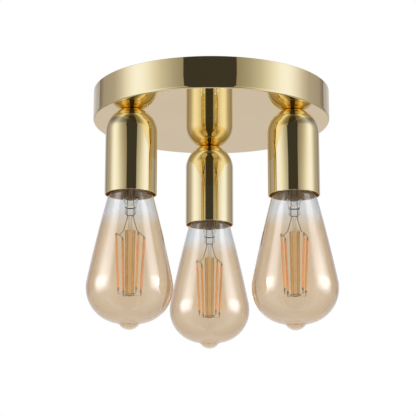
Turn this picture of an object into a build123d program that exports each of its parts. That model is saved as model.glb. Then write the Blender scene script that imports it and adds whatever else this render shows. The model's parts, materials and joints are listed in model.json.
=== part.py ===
from build123d import *

# Semi flush ceiling light: a round pan against the ceiling, three domed bells hung straight from it,
# and a screw-in filament lamp in each bell. The origin is the middle of the face that meets the ceiling,
# +Z is up, and everything hangs below z = 0. All sizes are millimetres.

import os
from math import cos, radians, sin, sqrt

os.makedirs("parts", exist_ok=True)

# ---------------------------------------------------------------- driving dimensions
# Ceiling plate: a shallow pan, open towards the ceiling
plate_diameter = 184.0
plate_height = 24.0
plate_wall = 1.0
plate_corner = 1.6

# Bells
bell_diameter = 39.0
bell_length = 66.0
bell_wall = 0.9
bell_flat_diameter = 14.0

# Where the three bells hang: one at the back, two at the front, just inside the plate's edge
bell_inset = 2.0
lamp_angles = {"back": 90.0, "left": 210.0, "right": 330.0}

# Threaded tubes that carry the bells, with their washers and nuts
nipple_diameter = 10.0
nipple_bore = 7.6
nipple_above_nut = 3.0
nipple_below_saddle = 1.6
washer_thickness = 0.8
plate_washer_diameter = 18.0
bell_washer_diameter = 13.0
nut_thickness = 3.0
nut_across_flats = 14.0
thread_clearance = 0.05
hole_clearance = 0.1

# Lamp holder: steel saddle, ceramic body, brass screw shell and contacts
saddle_below_nut = 1.5
saddle_thickness = 1.2
saddle_width = 14.0
saddle_leg_span = 17.0
saddle_inner_bend = 0.4
saddle_collar_diameter = 13.0
saddle_collar_depth = 3.0
saddle_screw_inset = 4.4
body_below_saddle = 10.6
body_clearance = 1.6
body_height = 37.0
body_shoulder = 1.2
body_floor = 7.5
chamber_inset = 0.5
chamber_depth = 6.2
shell_inner_diameter = 26.8
shell_wall = 0.5
shell_length = 19.0
shell_clearance = 0.25
shell_lip = 2.9
contact_strip_thickness = 0.6
contact_strip_width = 7.0
contact_strip_inner_bend = 0.2
contact_leaf_overhang = 3.5
leaf_below_chamber = 1.3
live_strip_offset = 6.5
live_plate_length = 6.0
neutral_strip_inset = 1.0
neutral_plate_length = 5.9
slot_clearance = 0.2
holder_screw_diameter = 3.0
holder_screw_head = 4.4
holder_screw_head_height = 1.6
holder_screw_bite = 5.0
live_screw_offset = 2.9
neutral_screw_inset = 3.0
terminal_screw_aside = 1.2
terminal_wire_aside = 2.3

# Lamp, with a screw cap of 27 mm nominal size
lamp_length = 140.0
contact_gap = 0.1
button_diameter = 9.0
button_height = 1.7
button_shank_diameter = 2.8
insulator_height = 3.5
insulator_top_diameter = 11.0
insulator_plug_depth = 1.4
cap_clearance = 0.3
cap_wall = 0.4
cap_length = 27.0
cap_shoulder = 2.5
cap_shoulder_inset = 2.6
cap_rim_flare = 0.5
cap_rim_height = 0.6
glass_wall = 0.9
glass_neck_clearance = 0.4
glass_neck_depth = 4.5
glass_neck_blends = (15.0, 12.0)
glass_taper_run = 4.0
glass_flank_diameter = 35.2
glass_flank_above_tip = 98.0
glass_flank_angle = 11.3
glass_belly_diameter = 64.4
glass_belly_above_tip = 31.3
glass_belly_arc = 26.5
glass_pip_arc = 8.5
glass_pip_blend = 4.0

# Stem inside the glass: flare, press, rod and the pillar that carries the filaments
stem_wall = 0.8
stem_flare_diameter = 11.4
stem_flare_bend = 4.0
stem_taper_height = 6.0
press_width = 8.4
press_depth = 4.6
press_height = 6.4
press_below_contact = 48.6
rod_diameter = 2.6
pillar_below_contact = 65.9
pillar_length = 49.0
pillar_top_diameter = 8.0
pillar_base_diameter = 6.6
pillar_wall = 0.7

# Filaments and the wires that feed and hold them
filament_count = 4
filament_first_angle = 31.0
filament_length = 38.2
filament_diameter = 1.9
filament_top_radius = 11.9
filament_base_radius = 9.6
filament_below_contact = 71.6
filament_end_length = 2.0
filament_end_diameter = 1.5
lead_diameter = 0.7
lead_offset = 2.4
lead_spread = 5.0
lead_bend = 1.5
lead_above_flare = 1.6

# Driver board in the lamp's cap
driver_gap = 0.3
driver_width = 15.0
driver_height = 11.0
driver_thickness = 1.0
capacitor_diameter = 5.0
capacitor_height = 7.5

# Fixing strap on the ceiling, with the screws that hold the plate to it
strap_thickness = 1.5
strap_width = 18.0
strap_end_clearance = 0.3
strap_leg = 16.0
strap_inner_bend = 2.0
ceiling_slot_spacing = 70.0
ceiling_slot_width = 5.0
ceiling_slot_length = 14.0
side_screw_diameter = 4.0
side_screw_length = 8.0
side_screw_depth = 10.0
side_screw_recess = 0.3
side_screw_clearance = 0.2
screw_slot_width = 0.8
screw_slot_depth = 0.9

# Terminal block
pole_pitch = 10.0
pole_width = 8.8
pole_depth = 17.0
pole_height = 13.5
pole_corner = 1.0
web_depth = 11.0
web_height = 10.5
barrel_diameter = 5.8
barrel_bore = 4.4
barrel_length = 15.0
barrel_below_strap = 7.5
clamp_screw_diameter = 2.6
clamp_screw_spacing = 8.4
clamp_screw_length = 4.6
block_screw_diameter = 2.5
block_screw_head = 4.2
block_screw_head_height = 1.6

# Wiring: each conductor stands on its strip, climbs through the tube and runs to its barrel
wire_diameter = 1.8
wire_spacing = 2.4
wire_bite = 6.0
terminal_rise = 4.0
tube_turn_rise = 5.4
run_rise = 1.2
barrel_side = 1.0

# The bends are as large as the holder, the tube and the pan leave room for, one for each corner
terminal_bend = 1.9
tube_bend = 3.6
canopy_bend = 7.0
pair_bend = 11.0
single_bend = 60.0
cross_bends = (40.0, 8.0, 20.0)

# Where the wires turn on their way through the pan; the crossing one passes under its neighbours
pair_turn_ahead = 21.0
single_turn_behind = 22.0
cross_drop = 4.5
cross_start_right = 20.0
cross_start_ahead = 34.5
cross_start_lift = 1.5
cross_turn_ahead = 30.0
cross_end_ahead = 14.0

# Earth wire, with its ring tag, stud and nut
earth_wire_diameter = 2.2
earth_crimp_wall = 0.4
earth_crimp_length = 6.0
earth_tag_angle = 225.0
earth_stud_diameter = 4.0
earth_stud_length = 11.0
earth_stud_place = (38.0, 34.0)
earth_nut_across_flats = 7.0
earth_nut_thickness = 3.2
earth_ring_diameter = 8.6
earth_ring_thickness = 0.9
earth_bends = [10.0, 8.0, 16.0]
earth_aside = 2.0
earth_drop = 1.0
earth_turn_behind = 24.0
earth_straight_behind = 14.0

# ---------------------------------------------------------------- levels, from the ceiling down
plate_radius = plate_diameter / 2
plate_underside = -plate_height
plate_floor = plate_underside + plate_wall
washer_top = plate_floor + washer_thickness
plate_nut_top = washer_top + nut_thickness
nipple_top = plate_nut_top + nipple_above_nut

bell_radius = bell_diameter / 2
bell_mouth = plate_underside - bell_length
bell_dome_centre = plate_underside - sqrt(bell_radius**2 - (bell_flat_diameter / 2) ** 2)
lamp_circle_radius = plate_radius - bell_radius - bell_inset
bell_washer_top = plate_underside - bell_wall
bell_nut_top = bell_washer_top - washer_thickness
bell_nut_base = bell_nut_top - nut_thickness

body_diameter = bell_diameter - 2 * bell_wall - 2 * body_clearance
saddle_screw_span = body_diameter - 2 * saddle_screw_inset
saddle_top = bell_nut_base - saddle_below_nut
saddle_inside = saddle_top - saddle_thickness
nipple_base = saddle_inside - nipple_below_saddle
body_top = saddle_inside - body_below_saddle
body_mouth = body_top - body_height
chamber_top = body_top - body_floor
shell_seat = chamber_top - chamber_depth
shell_radius = shell_inner_diameter / 2 + shell_wall
shell_lip_diameter = shell_inner_diameter - 2 * shell_lip
chamber_diameter = shell_lip_diameter - 2 * chamber_inset
neutral_strip_offset = shell_inner_diameter / 2 - neutral_strip_inset
strip_top = body_top + contact_strip_thickness
# The terminals on their two sides of the holder: live at -1, neutral at 1
terminal_place = {-1: -live_strip_offset - live_screw_offset, 1: neutral_strip_offset - neutral_screw_inset}

# The lamp is screwed in until its button is just short of the contact leaf
leaf_top = chamber_top - leaf_below_chamber
lamp_top = leaf_top - contact_strip_thickness - contact_gap
lamp_tip = lamp_top - lamp_length
cap_diameter = shell_inner_diameter - 2 * cap_clearance
cap_rim_diameter = cap_diameter + 2 * cap_rim_flare
insulator_base_diameter = cap_diameter - 2 * cap_shoulder_inset
glass_neck_diameter = cap_diameter - 2 * cap_wall - 2 * glass_neck_clearance
insulator_top = lamp_top - button_height
insulator_base = insulator_top - insulator_height
cap_base = lamp_top - cap_length
glass_top = cap_base + glass_neck_depth
press_top = lamp_top - press_below_contact
press_shoulder = press_top - press_height / 3
press_base = press_top - press_height
pillar_top = lamp_top - pillar_below_contact
pillar_base = pillar_top - pillar_length
filament_top = lamp_top - filament_below_contact
filament_base = filament_top - filament_length
support_top = filament_base - filament_end_length - hole_clearance

strap_underside = -strap_thickness
barrel_level = strap_underside - barrel_below_strap
block_underside = strap_underside - pole_height
web_underside = strap_underside - web_height
pole_x = {"live": -pole_pitch, "neutral": 0.0, "earth": pole_pitch}

lamp_places = {
    name: (lamp_circle_radius * cos(radians(angle)), lamp_circle_radius * sin(radians(angle)))
    for name, angle in lamp_angles.items()
}
# The holder at the back is turned half round, so that its live side faces the live barrel.
holder_angles = {**lamp_angles, "back": lamp_angles["back"] + 180}


# ---------------------------------------------------------------- planes and points on a lamp's axis
def level_on(place, height, angle=0.0):
    """A level plane at a height, centred on a vertical axis, with its x turned to the angle."""
    turn = radians(angle)
    return Plane(origin=(*place, height), x_dir=(cos(turn), sin(turn), 0), z_dir=(0, 0, 1))


def section_on(place, angle=0.0):
    """An upright plane through a vertical axis: x runs outward at the angle, y is the height."""
    turn = radians(angle)
    return Plane(origin=(*place, 0), x_dir=(cos(turn), sin(turn), 0), z_dir=(sin(turn), -cos(turn), 0))


def axis_at(place):
    return Axis((*place, 0), (0, 0, 1))


def point_on(place, angle, along, across, height):
    """A point beside a vertical axis: so far along the angle, so far across it, at a height."""
    turn = radians(angle)
    x = place[0] + along * cos(turn) - across * sin(turn)
    y = place[1] + along * sin(turn) + across * cos(turn)
    return (x, y, height)


def start_of(path):
    """The plane square to a path at its start."""
    return Plane(origin=path @ 0, z_dir=path % 0)


# ---------------------------------------------------------------- plate and fixing strap
with BuildPart() as ceiling_plate:
    with BuildSketch(Plane.XY.offset(plate_underside)):
        Circle(plate_radius)
    extrude(amount=plate_height)
    fillet(ceiling_plate.edges().group_by(Axis.Z)[0], plate_corner)
    offset(amount=-plate_wall, openings=ceiling_plate.faces().sort_by(Axis.Z)[-1])
    with BuildSketch(Plane.XY.offset(plate_underside)):
        with Locations(*lamp_places.values()):
            Circle(nipple_diameter / 2 + hole_clearance)
    extrude(amount=2 * plate_wall, mode=Mode.SUBTRACT)
    with BuildSketch(Plane.YZ):
        with Locations((0, -side_screw_depth)):
            Circle(side_screw_diameter / 2 + side_screw_clearance)
    extrude(amount=plate_diameter, both=True, mode=Mode.SUBTRACT)
    # The earth stud is welded to the floor of the pan.
    with BuildSketch(Plane.XY.offset(plate_floor)):
        with Locations(earth_stud_place):
            Circle(earth_stud_diameter / 2)
    extrude(amount=earth_stud_length)
ceiling_plate.part.label = "ceiling_plate"
export_step(ceiling_plate.part, "parts/ceiling_plate.step")

strap_half_length = sqrt((plate_radius - plate_wall) ** 2 - (strap_width / 2) ** 2) - strap_end_clearance
with BuildPart() as fixing_strap:
    with BuildSketch(Plane.XZ):
        with BuildLine():
            FilletPolyline(
                (-strap_half_length, -strap_leg),
                (-strap_half_length, 0),
                (strap_half_length, 0),
                (strap_half_length, -strap_leg),
                radius=strap_inner_bend + strap_thickness,
            )
            offset(amount=strap_thickness, side=Side.RIGHT)
        make_face()
    extrude(amount=strap_width / 2, both=True)
    with BuildSketch(Plane.XY):
        with GridLocations(ceiling_slot_spacing, 0, 2, 1):
            SlotOverall(ceiling_slot_length, ceiling_slot_width)
        with GridLocations(pole_pitch, 0, 2, 1):
            Circle(block_screw_diameter / 2 + thread_clearance)
    extrude(amount=-2 * strap_thickness, mode=Mode.SUBTRACT)
    with BuildSketch(Plane.YZ):
        with Locations((0, -side_screw_depth)):
            Circle(side_screw_diameter / 2 + thread_clearance)
    extrude(amount=plate_diameter, both=True, mode=Mode.SUBTRACT)
fixing_strap.part.label = "fixing_strap"
export_step(fixing_strap.part, "parts/fixing_strap.step")

# Slotted set screws, sunk just below the outside of the rim at both ends of the strap
screw_face = plate_radius - side_screw_recess
with BuildPart() as side_screws:
    for side in (-1, 1):
        with BuildSketch(Plane(origin=(side * screw_face, 0, -side_screw_depth), z_dir=(-side, 0, 0))):
            Circle(side_screw_diameter / 2)
        extrude(amount=side_screw_length)
        with BuildSketch(Plane(origin=(side * screw_face, 0, -side_screw_depth), z_dir=(-side, 0, 0))):
            Rectangle(screw_slot_width, 2 * side_screw_diameter)
        extrude(amount=screw_slot_depth, mode=Mode.SUBTRACT)
side_screws.part.label = "side_screws"
export_step(side_screws.part, "parts/side_screws.step")

# ---------------------------------------------------------------- terminal block
with BuildPart() as terminal_block:
    with BuildSketch(Plane.XY.offset(strap_underside)):
        with Locations(*[(x, 0) for x in pole_x.values()]):
            RectangleRounded(pole_width, pole_depth, pole_corner)
    extrude(amount=-pole_height)
    with BuildSketch(Plane.XY.offset(strap_underside)):
        Rectangle(2 * pole_pitch, web_depth)
    extrude(amount=-web_height)
    with BuildSketch(Plane.XZ):
        with Locations(*[(x, barrel_level) for x in pole_x.values()]):
            Circle(barrel_diameter / 2 + hole_clearance)
    extrude(amount=pole_depth, both=True, mode=Mode.SUBTRACT)
    with BuildSketch(Plane.XY.offset(block_underside)):
        with GridLocations(pole_pitch, clamp_screw_spacing, 3, 2):
            Circle(clamp_screw_diameter / 2 + hole_clearance)
    extrude(amount=barrel_level - block_underside, mode=Mode.SUBTRACT)
    with BuildSketch(Plane.XY.offset(block_underside)):
        with GridLocations(pole_pitch, 0, 2, 1):
            Circle(block_screw_diameter / 2 + hole_clearance)
    extrude(amount=pole_height, mode=Mode.SUBTRACT)
    with BuildSketch(Plane.XY.offset(web_underside)):
        with GridLocations(pole_pitch, 0, 2, 1):
            Circle(block_screw_head / 2 + hole_clearance)
    extrude(amount=-(pole_height - web_height), mode=Mode.SUBTRACT)
terminal_block.part.label = "terminal_block"
export_step(terminal_block.part, "parts/terminal_block.step")

with BuildPart() as terminal_barrels:
    with BuildSketch(Plane.XZ):
        with Locations(*[(x, barrel_level) for x in pole_x.values()]):
            Circle(barrel_diameter / 2)
            Circle(barrel_bore / 2, mode=Mode.SUBTRACT)
    extrude(amount=barrel_length / 2, both=True)
    with BuildSketch(Plane.XY.offset(barrel_level)):
        with GridLocations(pole_pitch, clamp_screw_spacing, 3, 2):
            Circle(clamp_screw_diameter / 2 + thread_clearance)
    extrude(amount=-barrel_diameter, mode=Mode.SUBTRACT)
terminal_barrels.part.label = "terminal_barrels"
export_step(terminal_barrels.part, "parts/terminal_barrels.step")

clamp_tip = barrel_level - wire_diameter / 2 - thread_clearance
with BuildPart() as clamp_screws:
    with BuildSketch(Plane.XY.offset(clamp_tip)):
        with GridLocations(pole_pitch, clamp_screw_spacing, 3, 2):
            Circle(clamp_screw_diameter / 2)
    extrude(amount=-clamp_screw_length)
    with BuildSketch(Plane.XY.offset(clamp_tip - clamp_screw_length)):
        with GridLocations(pole_pitch, clamp_screw_spacing, 3, 2):
            Rectangle(2 * clamp_screw_diameter, screw_slot_width)
    extrude(amount=screw_slot_depth, mode=Mode.SUBTRACT)
clamp_screws.part.label = "clamp_screws"
export_step(clamp_screws.part, "parts/clamp_screws.step")

with BuildPart() as block_screws:
    with BuildSketch(Plane.XY.offset(web_underside)):
        with GridLocations(pole_pitch, 0, 2, 1):
            Circle(block_screw_diameter / 2)
    extrude(amount=-web_underside)
    with BuildSketch(Plane.XY.offset(web_underside)):
        with GridLocations(pole_pitch, 0, 2, 1):
            Circle(block_screw_head / 2)
    extrude(amount=-block_screw_head_height)
block_screws.part.label = "block_screws"
export_step(block_screws.part, "parts/block_screws.step")

# ---------------------------------------------------------------- threaded tubes, washers and nuts
with BuildPart() as nipples:
    with BuildSketch(Plane.XY.offset(nipple_top)):
        with Locations(*lamp_places.values()):
            Circle(nipple_diameter / 2)
            Circle(nipple_bore / 2, mode=Mode.SUBTRACT)
    extrude(amount=nipple_base - nipple_top)
nipples.part.label = "nipples"
export_step(nipples.part, "parts/nipples.step")

with BuildPart() as washers:
    with BuildSketch(Plane.XY.offset(plate_floor)):
        with Locations(*lamp_places.values()):
            Circle(plate_washer_diameter / 2)
            Circle(nipple_diameter / 2 + hole_clearance, mode=Mode.SUBTRACT)
    extrude(amount=washer_thickness)
    with BuildSketch(Plane.XY.offset(bell_washer_top)):
        with Locations(*lamp_places.values()):
            Circle(bell_washer_diameter / 2)
            Circle(nipple_diameter / 2 + hole_clearance, mode=Mode.SUBTRACT)
    extrude(amount=-washer_thickness)
washers.part.label = "washers"
export_step(washers.part, "parts/washers.step")

with BuildPart() as nipple_nuts:
    for nut_top in (plate_nut_top, bell_nut_top):
        with BuildSketch(Plane.XY.offset(nut_top)):
            with Locations(*lamp_places.values()):
                RegularPolygon(nut_across_flats / 2, 6, major_radius=False)
                Circle(nipple_diameter / 2 + thread_clearance, mode=Mode.SUBTRACT)
        extrude(amount=-nut_thickness)
nipple_nuts.part.label = "nipple_nuts"
export_step(nipple_nuts.part, "parts/nipple_nuts.step")

# ---------------------------------------------------------------- bells and lamp holders
saddle_outer = body_diameter / 2 - body_shoulder
live_plate_end = live_strip_offset + live_plate_length

for name, place in lamp_places.items():
    angle = holder_angles[name]

    with BuildPart() as bell:
        with BuildSketch(section_on(place)):
            with BuildLine():
                Polyline((0, bell_mouth), (0, plate_underside), (bell_flat_diameter / 2, plate_underside))
                RadiusArc(
                    (bell_flat_diameter / 2, plate_underside), (bell_radius, bell_dome_centre), bell_radius
                )
                Polyline((bell_radius, bell_dome_centre), (bell_radius, bell_mouth), (0, bell_mouth))
            make_face()
        revolve(axis=axis_at(place))
        offset(amount=-bell_wall, openings=bell.faces().sort_by(Axis.Z)[0])
        with BuildSketch(level_on(place, plate_underside)):
            Circle(nipple_diameter / 2 + hole_clearance)
        extrude(amount=-2 * bell_wall, mode=Mode.SUBTRACT)
    bell.part.label = f"bell_{name}"
    export_step(bell.part, f"parts/bell_{name}.step")

    # Steel saddle: a hat-shaped strap with a threaded collar for the tube and two feet on the ceramic
    with BuildPart() as saddle:
        foot_top = body_top + saddle_thickness
        with BuildSketch(section_on(place, angle)):
            with BuildLine():
                FilletPolyline(
                    (-body_diameter / 2, foot_top),
                    (-saddle_leg_span / 2, foot_top),
                    (-saddle_leg_span / 2, saddle_top),
                    (saddle_leg_span / 2, saddle_top),
                    (saddle_leg_span / 2, foot_top),
                    (body_diameter / 2, foot_top),
                    radius=saddle_inner_bend + saddle_thickness,
                )
                offset(amount=saddle_thickness, side=Side.RIGHT)
            make_face()
        extrude(amount=saddle_width / 2, both=True)
        with BuildSketch(level_on(place, saddle_inside)):
            Circle(saddle_collar_diameter / 2)
        extrude(amount=-saddle_collar_depth)
        with BuildSketch(level_on(place, body_top)):
            Circle(saddle_outer)
        extrude(amount=saddle_top - body_top, mode=Mode.INTERSECT)
        with BuildSketch(level_on(place, saddle_top)):
            Circle(nipple_diameter / 2 + thread_clearance)
        extrude(amount=body_top - saddle_top, mode=Mode.SUBTRACT)
        with BuildSketch(level_on(place, body_top, angle)):
            with GridLocations(saddle_screw_span, 0, 2, 1):
                Circle(holder_screw_diameter / 2 + hole_clearance)
        extrude(amount=saddle_thickness, mode=Mode.SUBTRACT)
    saddle.part.label = f"saddle_{name}"
    export_step(saddle.part, f"parts/saddle_{name}.step")

    # Ceramic body: bore for the screw shell, contact chamber above it, slots for both contact strips
    with BuildPart() as holder_body:
        with BuildSketch(level_on(place, body_top)):
            Circle(body_diameter / 2)
        extrude(amount=-body_height)
        fillet(holder_body.edges().group_by(Axis.Z)[-1], body_shoulder)
        with BuildSketch(level_on(place, body_mouth)):
            Circle(shell_radius + shell_clearance)
        extrude(amount=shell_seat - body_mouth, mode=Mode.SUBTRACT)
        with BuildSketch(level_on(place, shell_seat)):
            Circle(chamber_diameter / 2)
        extrude(amount=chamber_depth, mode=Mode.SUBTRACT)
        slot_width = contact_strip_width + 2 * slot_clearance
        slot_thickness = contact_strip_thickness + 2 * slot_clearance
        with BuildSketch(level_on(place, body_top, angle)):
            with Locations((0, -live_strip_offset - contact_strip_thickness / 2)):
                Rectangle(slot_width, slot_thickness)
            with Locations((0, neutral_strip_offset - contact_strip_thickness / 2)):
                Rectangle(slot_width, slot_thickness)
        extrude(amount=shell_seat - body_top, mode=Mode.SUBTRACT)
        with BuildSketch(level_on(place, body_top, angle)):
            with GridLocations(saddle_screw_span, 0, 2, 1):
                Circle(holder_screw_diameter / 2 + thread_clearance)
            with Locations(*[(-terminal_screw_aside, across) for across in terminal_place.values()]):
                Circle(holder_screw_diameter / 2 + thread_clearance)
        extrude(amount=-holder_screw_bite, mode=Mode.SUBTRACT)
    holder_body.part.label = f"holder_body_{name}"
    export_step(holder_body.part, f"parts/holder_body_{name}.step")

    with BuildPart() as screw_shell:
        with BuildSketch(level_on(place, shell_seat)):
            Circle(shell_radius)
            Circle(shell_inner_diameter / 2, mode=Mode.SUBTRACT)
        extrude(amount=-shell_length)
        with BuildSketch(level_on(place, shell_seat)):
            Circle(shell_radius)
            Circle(shell_lip_diameter / 2, mode=Mode.SUBTRACT)
        extrude(amount=-shell_wall)
    screw_shell.part.label = f"screw_shell_{name}"
    export_step(screw_shell.part, f"parts/screw_shell_{name}.step")

    # The live strip runs from its terminal down into the chamber and under the middle, over the lamp.
    with BuildPart() as live_contact:
        with BuildSketch(section_on(place, angle + 90)):
            with BuildLine():
                FilletPolyline(
                    (-live_plate_end, strip_top),
                    (-live_strip_offset, strip_top),
                    (-live_strip_offset, leaf_top),
                    (contact_leaf_overhang, leaf_top),
                    radius=contact_strip_inner_bend + contact_strip_thickness,
                )
                offset(amount=contact_strip_thickness, side=Side.RIGHT)
            make_face()
        extrude(amount=contact_strip_width / 2, both=True)
        with BuildSketch(level_on(place, body_top, angle)):
            with Locations((-terminal_screw_aside, terminal_place[-1])):
                Circle(holder_screw_diameter / 2 + thread_clearance)
        extrude(amount=contact_strip_thickness, mode=Mode.SUBTRACT)
    live_contact.part.label = f"live_contact_{name}"
    export_step(live_contact.part, f"parts/live_contact_{name}.step")

    # The neutral strip runs from its terminal down to the lip of the screw shell.
    with BuildPart() as neutral_contact:
        with BuildSketch(section_on(place, angle + 90)):
            with BuildLine():
                FilletPolyline(
                    (neutral_strip_offset - neutral_plate_length, strip_top),
                    (neutral_strip_offset, strip_top),
                    (neutral_strip_offset, shell_seat),
                    radius=contact_strip_inner_bend + contact_strip_thickness,
                )
                offset(amount=contact_strip_thickness, side=Side.RIGHT)
            make_face()
        extrude(amount=contact_strip_width / 2, both=True)
        with BuildSketch(level_on(place, body_top, angle)):
            with Locations((-terminal_screw_aside, terminal_place[1])):
                Circle(holder_screw_diameter / 2 + thread_clearance)
        extrude(amount=contact_strip_thickness, mode=Mode.SUBTRACT)
    neutral_contact.part.label = f"neutral_contact_{name}"
    export_step(neutral_contact.part, f"parts/neutral_contact_{name}.step")

screw_tip = body_top - holder_screw_bite
with BuildPart() as saddle_screws:
    for name, place in lamp_places.items():
        foot_top = body_top + saddle_thickness
        with BuildSketch(level_on(place, screw_tip, holder_angles[name])):
            with GridLocations(saddle_screw_span, 0, 2, 1):
                Circle(holder_screw_diameter / 2)
        extrude(amount=foot_top - screw_tip)
        with BuildSketch(level_on(place, foot_top, holder_angles[name])):
            with GridLocations(saddle_screw_span, 0, 2, 1):
                Circle(holder_screw_head / 2)
        extrude(amount=holder_screw_head_height)
saddle_screws.part.label = "saddle_screws"
export_step(saddle_screws.part, "parts/saddle_screws.step")

with BuildPart() as terminal_screws:
    for name, place in lamp_places.items():
        for across in terminal_place.values():
            with BuildSketch(level_on(place, screw_tip, holder_angles[name])):
                with Locations((-terminal_screw_aside, across)):
                    Circle(holder_screw_diameter / 2)
            extrude(amount=strip_top - screw_tip)
            with BuildSketch(level_on(place, strip_top, holder_angles[name])):
                with Locations((-terminal_screw_aside, across)):
                    Circle(holder_screw_head / 2)
            extrude(amount=holder_screw_head_height)
terminal_screws.part.label = "terminal_screws"
export_step(terminal_screws.part, "parts/terminal_screws.step")

# ---------------------------------------------------------------- wiring
tube_turn_level = body_top + tube_turn_rise
run_level = nipple_top + canopy_bend + run_rise
cross_level = run_level - cross_drop


def conductor(name, side, run):
    """One conductor's path and bends: side is -1 for live and 1 for neutral, run its way through the pan."""
    place = lamp_places[name]
    angle = holder_angles[name]
    across = side * wire_spacing / 2
    terminal = terminal_place[side]
    points = [
        point_on(place, angle, terminal_wire_aside, terminal, strip_top),
        point_on(place, angle, terminal_wire_aside, terminal, strip_top + terminal_rise),
        point_on(place, angle, 0, across, tube_turn_level),
        point_on(place, angle, 0, across, run_level),
    ]
    points += [point for point, radius in run]
    radii = [terminal_bend, tube_bend, canopy_bend] + [radius for point, radius in run[:-1]]
    return points, radii


barrel_end = barrel_length / 2 - wire_bite
live_x = pole_x["live"]
neutral_x = pole_x["neutral"]
cross_x = live_x + barrel_side


def pair_run(x):
    """From the front, into a barrel that takes two wires side by side"""
    return [((x, -pair_turn_ahead, barrel_level), pair_bend), ((x, -barrel_end, barrel_level), 0)]


def single_run(x):
    """From the back, into the middle of a barrel"""
    return [((x, single_turn_behind, barrel_level), single_bend), ((x, barrel_end, barrel_level), 0)]


live_runs = {
    "left": pair_run(live_x - barrel_side),
    "right": [
        ((cross_start_right, -cross_start_ahead, cross_level + cross_start_lift), cross_bends[0]),
        ((cross_x, -cross_turn_ahead, cross_level), cross_bends[1]),
        ((cross_x, -cross_end_ahead, barrel_level), cross_bends[2]),
        ((cross_x, -barrel_end, barrel_level), 0),
    ],
    "back": single_run(live_x),
}
neutral_runs = {
    "left": pair_run(neutral_x - barrel_side),
    "right": pair_run(neutral_x + barrel_side),
    "back": single_run(neutral_x),
}

with BuildPart() as live_wires:
    for name, run in live_runs.items():
        points, radii = conductor(name, -1, run)
        with BuildLine() as route:
            FilletPolyline(*points, radius=radii)
        with BuildSketch(start_of(route.line)):
            Circle(wire_diameter / 2)
        sweep(path=route.line)
live_wires.part.label = "live_wires"
export_step(live_wires.part, "parts/live_wires.step")

with BuildPart() as neutral_wires:
    for name, run in neutral_runs.items():
        points, radii = conductor(name, 1, run)
        with BuildLine() as route:
            FilletPolyline(*points, radius=radii)
        with BuildSketch(start_of(route.line)):
            Circle(wire_diameter / 2)
        sweep(path=route.line)
neutral_wires.part.label = "neutral_wires"
export_step(neutral_wires.part, "parts/neutral_wires.step")

# Earth: a ring tag under the nut on the pan's stud, crimped to its own wire
earth_x = pole_x["earth"]
earth_radius = earth_wire_diameter / 2
earth_level = barrel_level + earth_radius - wire_diameter / 2
tag_level = plate_floor + earth_radius + earth_crimp_wall
ring_edge = earth_ring_diameter / 2
crimp_start = earth_nut_across_flats / 2 + hole_clearance
with BuildPart() as earth_wire:
    with BuildLine() as route:
        FilletPolyline(
            point_on(earth_stud_place, earth_tag_angle, crimp_start, 0, tag_level),
            point_on(earth_stud_place, earth_tag_angle, crimp_start + 2 * earth_crimp_length, 0, tag_level),
            (earth_x + earth_aside, earth_turn_behind, earth_level - earth_drop),
            (earth_x, earth_straight_behind, earth_level),
            (earth_x, barrel_end, earth_level),
            radius=earth_bends,
        )
    with BuildSketch(start_of(route.line)):
        Circle(earth_radius)
    sweep(path=route.line)
    with BuildSketch(start_of(route.line)):
        Circle(earth_radius + earth_crimp_wall)
    extrude(amount=earth_crimp_length)
    with BuildSketch(level_on(earth_stud_place, plate_floor)):
        Circle(ring_edge)
        Circle(earth_stud_diameter / 2 + hole_clearance, mode=Mode.SUBTRACT)
    extrude(amount=earth_ring_thickness)
    with BuildSketch(level_on(earth_stud_place, plate_floor)):
        Circle(earth_stud_diameter / 2 + hole_clearance)
    extrude(amount=earth_stud_length, mode=Mode.SUBTRACT)
earth_wire.part.label = "earth_wire"
export_step(earth_wire.part, "parts/earth_wire.step")

with BuildPart() as earth_nut:
    with BuildSketch(level_on(earth_stud_place, plate_floor + earth_ring_thickness)):
        RegularPolygon(earth_nut_across_flats / 2, 6, major_radius=False, rotation=earth_tag_angle + 180 / 6)
        Circle(earth_stud_diameter / 2 + thread_clearance, mode=Mode.SUBTRACT)
    extrude(amount=earth_nut_thickness)
earth_nut.part.label = "earth_nut"
export_step(earth_nut.part, "parts/earth_nut.step")

# ---------------------------------------------------------------- lamps
cap_radius = cap_diameter / 2
cap_inner = cap_radius - cap_wall
cap_top_radius = insulator_base_diameter / 2
cap_opening = cap_top_radius - cap_wall
plug_base = insulator_base - insulator_plug_depth
shank_hole = button_shank_diameter / 2 + hole_clearance
glass_neck_radius = glass_neck_diameter / 2
flare_radius = stem_flare_diameter / 2
flare_top = glass_top - stem_wall
lead_radius = lead_diameter / 2
filament_angles = [filament_first_angle + step * 360 / filament_count for step in range(filament_count)]
bar_level = filament_top + filament_end_length + lead_radius + hole_clearance
support_level = pillar_base + lead_diameter

belly_centre = (glass_belly_diameter / 2 - glass_belly_arc, lamp_tip + glass_belly_above_tip)
flank_turn = radians(glass_flank_angle)
flank_end = (
    belly_centre[0] + glass_belly_arc * cos(flank_turn),
    belly_centre[1] + glass_belly_arc * sin(flank_turn),
)
flank_start = (glass_flank_diameter / 2, lamp_tip + glass_flank_above_tip)
crown_level = belly_centre[1] - glass_belly_arc


def filament_point(place, angle, radius, height):
    return Vector(*point_on(place, angle, radius, 0, height))


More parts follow.
